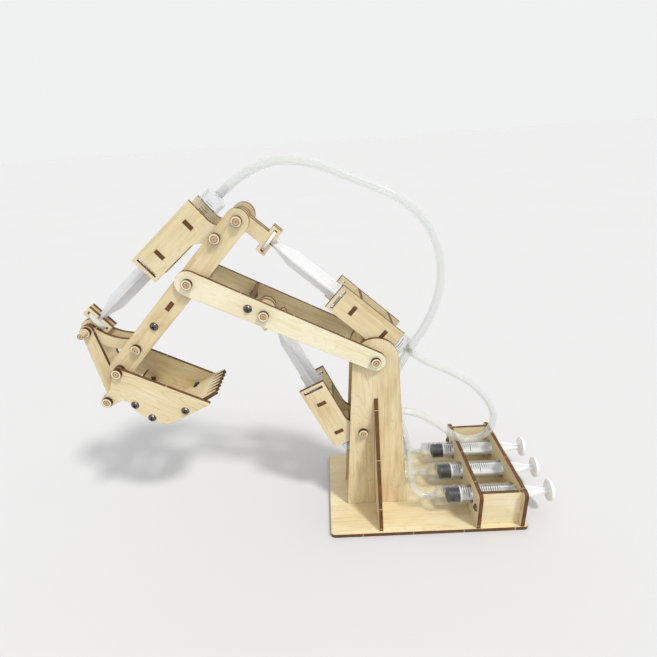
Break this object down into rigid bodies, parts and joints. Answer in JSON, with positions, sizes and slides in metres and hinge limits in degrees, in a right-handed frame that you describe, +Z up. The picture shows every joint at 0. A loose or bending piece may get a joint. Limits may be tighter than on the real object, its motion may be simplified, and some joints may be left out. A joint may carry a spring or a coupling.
{
  "type": "hydraulic arm kit",
  "caption": "Laser-cut plywood model excavator arm with a boom, a stick and a bucket, moved by water-filled syringes that are joined by hoses to hand syringes in a box on its base.",
  "frame": {"origin": "on the underside of the base plate, straight below the boom pivot, in the arm's middle plane", "axes": "+Z up, +X from the tower towards the control box, the arm reaches towards -X, +Y to the far side"},
  "size_m": [0.3298, 0.0984, 0.259],
  "materials": {
    "plywood": "raw birch plywood, laser cut with dark scorched edges",
    "dowel": "raw beech dowel and plywood rings",
    "steel": "zinc plated screws and nuts",
    "barrel": "clear moulded polypropylene",
    "plunger": "white translucent moulded plastic",
    "seal": "black rubber",
    "hose": "soft translucent tubing"
  },
  "bodies": {
    "base": {"base_plate": "plywood", "tower_near_plate": "plywood", "tower_far_plate": "plywood", "tower_ribs": "plywood", "tower_spreader": "plywood", "box_left_plate": "plywood", "box_right_plate": "plywood", "box_front_plate": "plywood", "box_back_plate": "plywood", "frame_bolts": "steel", "control_barrels": "barrel", "tower_pins": "dowel", "bucket_hose": "hose", "stick_hose": "hose", "boom_hose": "hose"},
    "boom": {"boom_near_plate": "plywood", "boom_far_plate": "plywood", "boom_cross_plate": "plywood", "boom_bolts": "steel", "boom_pins": "dowel"},
    "stick": {"stick_near_plate": "plywood", "stick_far_plate": "plywood", "stick_cross_plate": "plywood", "stick_bolts": "steel", "stick_pins": "dowel"},
    "bucket": {"bucket_near_plate": "plywood", "bucket_far_plate": "plywood", "bucket_lip_plate": "plywood", "bucket_belly_plate": "plywood", "bucket_back_plate": "plywood", "bucket_bolts": "steel", "bucket_pin": "dowel"},
    "rocker": {"rocker_plates": "plywood", "rocker_pin": "dowel"},
    "link": {"link_plates": "plywood"},
    "boom_housing": {"boom_housing_sides": "plywood", "boom_housing_frames": "plywood", "boom_barrel": "barrel"},
    "stick_housing": {"stick_housing_sides": "plywood", "stick_housing_frames": "plywood", "stick_barrel": "barrel"},
    "bucket_housing": {"bucket_housing_sides": "plywood", "bucket_housing_frames": "plywood", "bucket_barrel": "barrel"},
    "boom_ram": {"boom_plunger": "plunger", "boom_seal": "seal", "boom_clevis": "plywood"},
    "stick_ram": {"stick_plunger": "plunger", "stick_seal": "seal", "stick_clevis": "plywood"},
    "bucket_ram": {"bucket_plunger": "plunger", "bucket_seal": "seal", "bucket_clevis": "plywood"},
    "control_rod_1": {"control_plunger_1": "plunger", "control_seal_1": "seal"},
    "control_rod_2": {"control_plunger_2": "plunger", "control_seal_2": "seal"},
    "control_rod_3": {"control_plunger_3": "plunger", "control_seal_3": "seal"}
  },
  "joints": [
    {"name": "boom_lift", "type": "hinge", "parent": "base", "child": "boom", "pos_m": [0, 0, 0.128], "axis": [0, -1, 0], "range_deg": [-7, 25]},
    {"name": "stick_swing", "type": "hinge", "parent": "boom", "child": "stick", "pos_m": [-0.11771, 0, 0.18927], "axis": [0, -1, 0], "range_deg": [-30, 5], "deforming": ["bucket_hose"]},
    {"name": "bucket_curl", "type": "hinge", "parent": "stick", "child": "bucket", "pos_m": [-0.17568, 0, 0.1317], "axis": [0, -1, 0], "range_deg": [-38, 20]},
    {"name": "rocker_turn", "type": "hinge", "parent": "stick", "child": "rocker", "pos_m": [-0.16113, 0, 0.14615], "axis": [0, -1, 0], "range_deg": [-20.5, 11.5]},
    {"name": "link_turn", "type": "hinge", "parent": "rocker", "child": "link", "pos_m": [-0.1948, 0, 0.1584], "axis": [0, -1, 0], "range_deg": [-2.5, 2]},
    {"name": "boom_housing_tilt", "type": "hinge", "parent": "base", "child": "boom_housing", "pos_m": [-0.0096, 0, 0.07], "axis": [0, -1, 0], "range_deg": [-5, 15], "deforming": ["boom_hose"]},
    {"name": "stick_housing_tilt", "type": "hinge", "parent": "boom", "child": "stick_housing", "pos_m": [0, 0, 0.128], "axis": [0, -1, 0], "range_deg": [-1.5, 4.5], "deforming": ["stick_hose"]},
    {"name": "bucket_housing_tilt", "type": "hinge", "parent": "stick", "child": "bucket_housing", "pos_m": [-0.09647, 0, 0.21557], "axis": [0, -1, 0], "range_deg": [-3.5, 2.5]},
    {"name": "boom_ram_slide", "type": "slide", "parent": "boom_housing", "child": "boom_ram", "axis": [-0.4225, 0, 0.9064], "range_m": [-0.0205, 0.0062]},
    {"name": "stick_ram_slide", "type": "slide", "parent": "stick_housing", "child": "stick_ram", "axis": [-0.7389, 0, 0.6738], "range_m": [-0.027, 0.0052]},
    {"name": "bucket_ram_slide", "type": "slide", "parent": "bucket_housing", "child": "bucket_ram", "axis": [-0.7835, 0, -0.6214], "range_m": [-0.0108, 0.006]},
    {"name": "control_rod_1_slide", "type": "slide", "parent": "base", "child": "control_rod_1", "axis": [1, 0, 0], "range_m": [-0.006, 0.0108]},
    {"name": "control_rod_2_slide", "type": "slide", "parent": "base", "child": "control_rod_2", "axis": [1, 0, 0], "range_m": [-0.0052, 0.027]},
    {"name": "control_rod_3_slide", "type": "slide", "parent": "base", "child": "control_rod_3", "axis": [1, 0, 0], "range_m": [-0.0062, 0.0205]}
  ],
  "couplings": [
    {"joint": "boom_housing_tilt", "follows": "boom_lift", "ratio": 0.5734},
    {"joint": "boom_ram_slide", "follows": "boom_lift", "m_per_rad": -0.044195},
    {"joint": "control_rod_3_slide", "follows": "boom_lift", "m_per_rad": 0.044195},
    {"joint": "stick_housing_tilt", "follows": "stick_swing", "ratio": -0.1252},
    {"joint": "stick_ram_slide", "follows": "stick_swing", "m_per_rad": 0.049646},
    {"joint": "control_rod_2_slide", "follows": "stick_swing", "m_per_rad": -0.049646},
    {"joint": "rocker_turn", "follows": "bucket_curl", "ratio": 0.5146},
    {"joint": "link_turn", "follows": "bucket_curl", "ratio": 0.0383},
    {"joint": "bucket_housing_tilt", "follows": "bucket_curl", "ratio": 0.0774},
    {"joint": "bucket_ram_slide", "follows": "bucket_curl", "m_per_rad": 0.01492},
    {"joint": "control_rod_1_slide", "follows": "bucket_curl", "m_per_rad": -0.01492}
  ]
}
